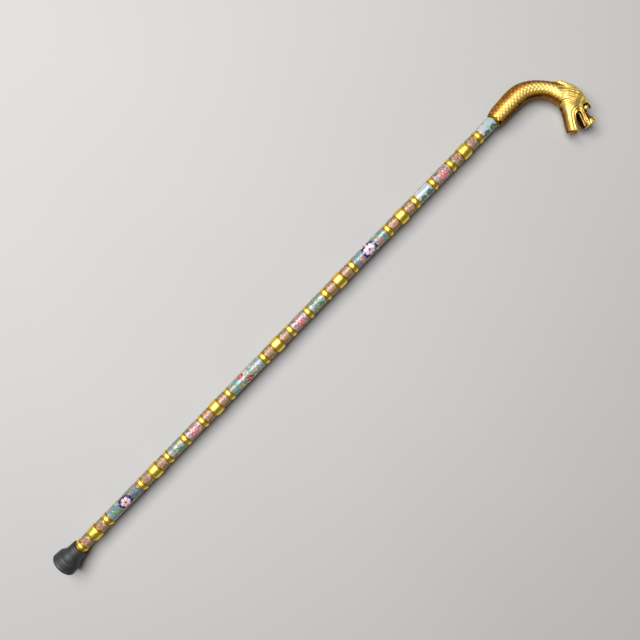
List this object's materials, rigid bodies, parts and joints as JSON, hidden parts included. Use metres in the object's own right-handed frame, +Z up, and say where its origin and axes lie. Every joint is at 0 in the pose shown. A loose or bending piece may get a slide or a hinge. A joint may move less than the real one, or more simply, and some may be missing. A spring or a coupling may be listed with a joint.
{
  "type": "cloisonne walking cane",
  "caption": "Walking cane of gilt and cloisonne enamel beads on a steel rod, with a cast dragon-head crook handle and a black rubber tip, lying on its side.",
  "frame": {"origin": "on the ground under the middle of the lying cane's bounding box", "axes": "+X along the shaft from the rubber tip to the handle, -Y the way the crook bends, +Z up from the ground"},
  "size_m": [0.922, 0.1122, 0.036],
  "materials": {
    "gilt": "polished gilt, dark in the grooves at the ends",
    "cast_gilt": "gilt casting with a brown patina in its recesses",
    "rubber": "satin moulded rubber, slightly dusty",
    "steel": "plain zinc-plated steel",
    "enamel_speckled": "polished pink-tan enamel with red-brown specks between gilt wires",
    "enamel_blue": "polished sky-blue enamel with flowers and leaves between gilt wires",
    "enamel_rose": "polished enamel with rose flowers between gilt wires",
    "enamel_pale": "polished pale enamel with dark green scrolls between gilt wires"
  },
  "bodies": {
    "shaft": {"core_rod": "steel", "end_nut": "steel", "end_washer": "steel", "end_sleeve": "steel", "gilt_ring_01": "gilt", "gilt_ring_02": "gilt", "gilt_ring_03": "gilt", "gilt_ring_04": "gilt", "gilt_ring_05": "gilt", "gilt_ring_06": "gilt", "gilt_ring_07": "gilt", "gilt_ring_08": "gilt", "gilt_ring_09": "gilt", "gilt_ring_10": "gilt", "gilt_ring_11": "gilt", "gilt_ring_12": "gilt", "gilt_ring_13": "gilt", "gilt_ring_14": "gilt", "gilt_ring_15": "gilt", "gilt_ring_16": "gilt", "gilt_ring_17": "gilt", "gilt_barrel_01": "gilt", "gilt_barrel_02": "gilt", "gilt_barrel_03": "gilt", "gilt_barrel_04": "gilt", "gilt_barrel_05": "gilt", "gilt_barrel_06": "gilt", "gilt_barrel_07": "gilt", "small_enamel_01": "enamel_speckled", "small_enamel_02": "enamel_speckled", "small_enamel_03": "enamel_speckled", "small_enamel_04": "enamel_speckled", "small_enamel_05": "enamel_speckled", "small_enamel_06": "enamel_speckled", "small_enamel_07": "enamel_speckled", "small_enamel_08": "enamel_speckled", "small_enamel_09": "enamel_speckled", "small_enamel_10": "enamel_speckled", "small_enamel_11": "enamel_speckled", "small_enamel_12": "enamel_speckled", "small_enamel_13": "enamel_speckled", "small_enamel_14": "enamel_speckled", "long_enamel_01": "enamel_blue", "long_enamel_02": "enamel_blue", "long_enamel_03": "enamel_blue", "middle_enamel_01": "enamel_blue", "middle_enamel_02": "enamel_rose", "middle_enamel_03": "enamel_rose", "middle_enamel_04": "enamel_blue", "middle_enamel_05": "enamel_pale", "middle_enamel_06": "enamel_rose", "middle_enamel_07": "enamel_pale"},
    "tip": {"rubber_tip": "rubber"},
    "seat": {"seat_ring": "gilt"},
    "handle": {"dragon_handle": "cast_gilt"}
  },
  "joints": [
    {"name": "tip_pull_off", "type": "slide", "parent": "shaft", "child": "tip", "axis": [-1, 0, 0], "range_m": [0, 0.025]},
    {"name": "handle_turn", "type": "hinge", "parent": "shaft", "child": "seat", "pos_m": [0.35815, 0.03807, 0.018], "axis": [1, 0, 0], "range_deg": [0, 3780]},
    {"name": "handle_lift", "type": "slide", "parent": "seat", "child": "handle", "axis": [1, 0, 0], "range_m": [0, 0.0158]}
  ],
  "couplings": [
    {"joint": "handle_lift", "follows": "handle_turn", "m_per_rad": 0.00023873}
  ]
}
